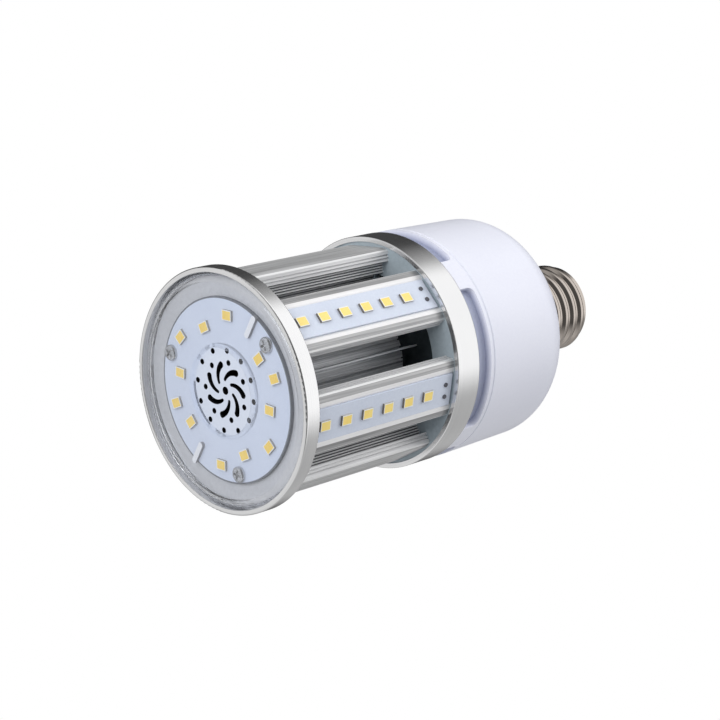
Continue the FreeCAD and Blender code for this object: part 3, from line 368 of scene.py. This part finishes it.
def clear_plastic(name):
    # Clear moulded plastic that lets lamp light through to what it covers. Its rounded shoulder bends the
    # view. Its flat and the thin wall of its air collar don't.
    t = Tree(name)
    clear = (0.97, 0.98, 1.0)
    haze = t.ramp(t.noise(t.place(), 400.0), *TONE_SPREAD, 0.10, 0.14)
    shoulder = t.surface(Base_Color=clear, Roughness=haze, Transmission_Weight=1.0, IOR=1.49)
    through = t.add("ShaderNodeBsdfTransparent")
    t.put(through, 0, clear)
    sheen = t.add("ShaderNodeBsdfGlossy")
    t.put(sheen, "Roughness", 0.05)
    slant = t.ramp(t.add("ShaderNodeLayerWeight").outputs["Facing"], 0.3, 1.0, 0.04, 0.6)
    thin = t.blend(slant, through.outputs[0], sheen.outputs[0])
    cover = t.blend(t.ramp(t.reach(), *COVER_FLAT), thin, shoulder.outputs[0])
    path = t.add("ShaderNodeLightPath")
    open_ray = t.math("MAXIMUM", path.outputs["Is Shadow Ray"], path.outputs["Is Diffuse Ray"])
    return t.finish(t.blend(open_ray, cover, through.outputs[0]))


def front_board(name):
    # Pale solder mask, with a painted shadow line round its edge and painted shade on its side walls, near
    # black in the vents.
    t = Tree(name)
    fine = t.grain(1500.0)
    tone = t.ramp(t.sum(fine, 0.6, t.noise(t.place(), 75.0, 2.0)), *TONE_SPREAD)
    reach = t.reach()
    wall_shade = t.ramp(t.upright(), 0.5, 0.6, 1.0, 0.0)
    mask = t.mix(tone, (0.61, 0.66, 0.77), (0.69, 0.74, 0.84))
    # Painted shadow line round the board's edge.
    mask = t.mix(t.ramp(reach, *BOARD_EDGE_SHADE), mask, (0.13, 0.14, 0.16))
    # Painted shade on the side walls: near black inside the vents, dark grey elsewhere.
    dark = t.mix(t.ramp(reach, *VENT_SHADE_END), (0.006, 0.006, 0.007), (0.10, 0.11, 0.13))
    return t.dress(t.mix(wall_shade, mask, dark), t.ramp(fine, *ROUGH_SPREAD, 0.47, 0.63), fine)


def terminal_metal(name):
    # Tinned bars, bright on top, with painted shade on their sides.
    t = Tree(name)
    fine = t.grain(1200.0)
    tone = t.ramp(fine, *TONE_SPREAD)
    bright = t.mix(tone, (0.84, 0.84, 0.85), (0.93, 0.93, 0.94))
    # Painted shade on the sides of the bars.
    side_shade = t.mix(tone, (0.16, 0.16, 0.17), (0.34, 0.34, 0.36))
    paint = t.mix(t.ramp(t.upright(), 0.5, 0.9), side_shade, bright)
    return t.dress(paint, t.ramp(fine, *ROUGH_SPREAD, 0.28, 0.4), fine, metal=0.2)


def collar_plastic(name):
    # White plastic, with painted shade on the floor of the vent notches.
    t = Tree(name)
    fine = t.grain(1200.0)
    tone = t.ramp(fine, *TONE_SPREAD)
    white = t.mix(tone, (0.78, 0.79, 0.88), (0.82, 0.83, 0.91))
    # Painted shade on the floors of the notches.
    floor = t.mix(tone, (0.42, 0.45, 0.59), (0.46, 0.49, 0.63))
    paint = t.mix(t.ramp(t.reach(), *NOTCH_SHADE), floor, white)
    return t.dress(paint, t.ramp(fine, *ROUGH_SPREAD, 0.32, 0.44), fine, bump=0.03)


# Brushed metals by slot: dark, light, and the lowest and highest roughness.
BRUSHED = {
    "polished_metal": ((0.78, 0.78, 0.79), (0.94, 0.94, 0.94), 0.16, 0.26),
    "screw_metal": ((0.40, 0.40, 0.41), (0.78, 0.78, 0.78), 0.12, 0.2),
    "cap_metal": ((0.42, 0.37, 0.33), (0.66, 0.60, 0.55), 0.04, 0.09),
}

# Plain surfaces by slot: dark, light, scale of the mottle, roughness and, where they differ from the
# function's own values, metal and bump.
SPECKLED = {
    "plate_metal": ((0.52, 0.52, 0.53), (0.66, 0.66, 0.67), 900.0, 0.38, 0.2),
    "white_board": ((0.61, 0.66, 0.77), (0.69, 0.74, 0.84), 1500.0, 0.55),
    "led_phosphor": ((0.95, 0.69, 0.17), (1.0, 0.81, 0.29), 3000.0, 0.4),
    "solder": ((0.05, 0.05, 0.06), (0.14, 0.14, 0.16), 2500.0, 0.35, 0.4),
    "white_plastic": ((0.78, 0.79, 0.88), (0.82, 0.83, 0.91), 1200.0, 0.38, 0.0, 0.03),
    "black_insulator": ((0.010, 0.010, 0.012), (0.03, 0.03, 0.035), 900.0, 0.22),
    "contact_metal": ((0.50, 0.46, 0.38), (0.72, 0.68, 0.58), 700.0, 0.3, 1.0),
    # The green driver board is painted shade: near black, with lighter blue-grey clouds as painted
    # reflections.
    "green_board": ((0.006, 0.009, 0.010), (0.085, 0.105, 0.120), 160.0, 0.22),
    "ferrite": ((0.02, 0.02, 0.022), (0.05, 0.05, 0.055), 1200.0, 0.6),
    "coil_tape": ((0.62, 0.42, 0.03), (0.80, 0.58, 0.06), 500.0, 0.3),
    "capacitor_sleeve": ((0.01, 0.012, 0.02), (0.03, 0.035, 0.05), 600.0, 0.3),
    "red_case": ((0.24, 0.03, 0.02), (0.36, 0.05, 0.03), 700.0, 0.3),
    "blue_case": ((0.02, 0.05, 0.22), (0.03, 0.08, 0.32), 700.0, 0.3),
    "black_case": ((0.008, 0.008, 0.009), (0.02, 0.02, 0.022), 1200.0, 0.5),
    "dark_wire": ((0.012, 0.012, 0.014), (0.03, 0.03, 0.032), 900.0, 0.45),
}

LOOKS = {
    "fin_metal": fin_metal("fin_metal", (0.27, 0.27, 0.28), (0.64, 0.64, 0.64), face_metal=0.7, rails=True),
    "clear_plastic": clear_plastic("clear_plastic"),
    "terminal_metal": terminal_metal("terminal_metal"),
}
for slot, values in BRUSHED.items():
    LOOKS[slot] = brushed_round(slot, *values)
for slot, values in SPECKLED.items():
    LOOKS[slot] = speckled(slot, *values)

# Pieces whose surface differs from the rest of their slot.
PLAIN_FIN = fin_metal("plain_fin_metal", (0.35, 0.35, 0.35), (0.74, 0.74, 0.74), face_metal=0.35)
OWN_LOOKS = {
    "heatsink_fin_3": PLAIN_FIN,
    "heatsink_fin_7": PLAIN_FIN,
    "core_tube": core_metal("core_metal"),
    "rear_plate": speckled("rear_plate", (0.38, 0.45, 0.50), (0.50, 0.58, 0.63), 900.0, 0.38, metal=0.25),
    "strip_led_packages": led_body("strip_led_body", on_strip=True),
    "front_led_packages": led_body("front_led_body", on_strip=False),
    "front_led_phosphor": speckled("front_phosphor", (0.92, 0.60, 0.08), (1.0, 0.73, 0.16), 3000.0, 0.4),
    "front_led_board": front_board("front_board"),
    "vent_collar": collar_plastic("collar_plastic"),
}

for part in frame["record"]["subparts"]:
    look = OWN_LOOKS.get(part["node"]) or LOOKS[part["material_slot"]]
    piece = nodes[part["node"]]
    piece.data.materials.clear()
    piece.data.materials.append(look)


def set_world():
    # White behind the lamp. Metal sees a studio with a white side, a grey side and a dark side, and glass
    # sees it paler. Everything else gets a soft light.
    t = Tree("studio", world=True)
    turned = t.add("ShaderNodeMapping")
    turned.inputs["Rotation"].default_value = (0.0, 0.0, STUDIO_TURN)
    t.link(t.coordinates("Generated"), turned.inputs["Vector"])
    parts = t.split(turned.outputs[0])
    angle = t.math("DIVIDE", t.math("ARCTAN2", parts[1], parts[0]), 2.0 * math.pi)
    walls = t.add("ShaderNodeValToRGB")
    t.link(t.math("ADD", angle, 0.5), walls.inputs[0])
    stops = walls.color_ramp.elements
    for place, level in STUDIO_WALLS:
        stops.new(place).color = (level, level, level, 1.0)
    stops.remove(stops[-1])
    stops.remove(stops[0])
    from_dark = t.math("ABSOLUTE", t.math("SUBTRACT", angle, FRONT_DARK_AT))
    front = t.ramp(from_dark, *FRONT_DARK_BAND, *FRONT_LEVELS)
    view = t.mix(t.ramp(parts[2], *FRONT_BAND, 1.0, 0.0), walls.outputs[0], front)
    view = t.mix(t.ramp(parts[2], *REAR_BAND), view, (REAR_LEVEL, REAR_LEVEL, REAR_LEVEL))
    height = t.add("ShaderNodeVectorMath", operation="DOT_PRODUCT")
    t.link(t.coordinates("Generated"), height.inputs[0])
    height.inputs[1].default_value = UP
    soft = t.light(SOFT_TINT, t.ramp(height.outputs["Value"], *SOFT_BAND, *SOFT_LEVELS))
    path = t.add("ShaderNodeLightPath").outputs
    seen = t.blend(path["Is Camera Ray"], soft, t.light(WHITE, 1.0))
    seen = t.blend(path["Is Glossy Ray"], seen, t.light(view, STUDIO_LEVEL))
    paler = t.light(t.mix(GLASS_PALER, view, WHITE), 1.0)
    scene.world = t.finish(t.blend(path["Is Transmission Ray"], seen, paler))


set_world()


def lamp(name, offset, size, watts):
    data = bpy.data.lights.new(name, "AREA")
    data.shape = "DISK"
    data.size = size
    data.energy = watts
    thing = bpy.data.objects.new(name, data)
    scene.collection.objects.link(thing)
    thing.location = LAMP_MIDDLE + offset
    thing.rotation_euler = (-offset).to_track_quat("-Z", "Y").to_euler()
    thing.visible_glossy = False


# A soft key from the photograph's right, a fill on the lit face, and weak lamps from above and behind.
lamp("key", Vector((0.60, 0.13, 0.51)), size=0.5, watts=2.4)
lamp("fill", BACK * 0.6 + UP * 0.2 - RIGHT * 0.35, size=0.5, watts=2.6)
lamp("top", UP * 0.8, size=0.4, watts=0.25)
lamp("back", Vector((-0.65, 0.35, 0.35)), size=0.5, watts=2.0)


def floor_material():
    # A pale floor, seen from above only, that takes the lamp's shadow, blocks no light and fades far away.
    t = Tree("pale_floor")
    paint = t.mix(t.noise(t.place(), 30.0), (0.92, 0.92, 0.93), (0.95, 0.95, 0.96))
    pale = t.surface(Base_Color=paint, Roughness=0.8)
    through = t.add("ShaderNodeBsdfTransparent")
    camera_ray = t.add("ShaderNodeLightPath").outputs["Is Camera Ray"]
    under = t.add("ShaderNodeNewGeometry").outputs["Backfacing"]
    shown = t.math("MULTIPLY", camera_ray, t.math("SUBTRACT", 1.0, under))
    shown = t.math("MULTIPLY", shown, t.ramp(t.polar()[0], *FLOOR_FADE, 1.0, 0.0))
    return t.finish(t.blend(shown, through.outputs[0], pale.outputs[0]))


def add_floor():
    mesh = bpy.data.meshes.new("floor")
    corners = [(x * FLOOR_HALF, y * FLOOR_HALF, 0.0) for x, y in ((-1, -1), (1, -1), (1, 1), (-1, 1))]
    mesh.from_pydata(corners, [], [(0, 1, 2, 3)])
    floor = bpy.data.objects.new("floor", mesh)
    scene.collection.objects.link(floor)
    floor.location.z = -FLOOR_DROP
    floor.data.materials.append(floor_material())


add_floor()
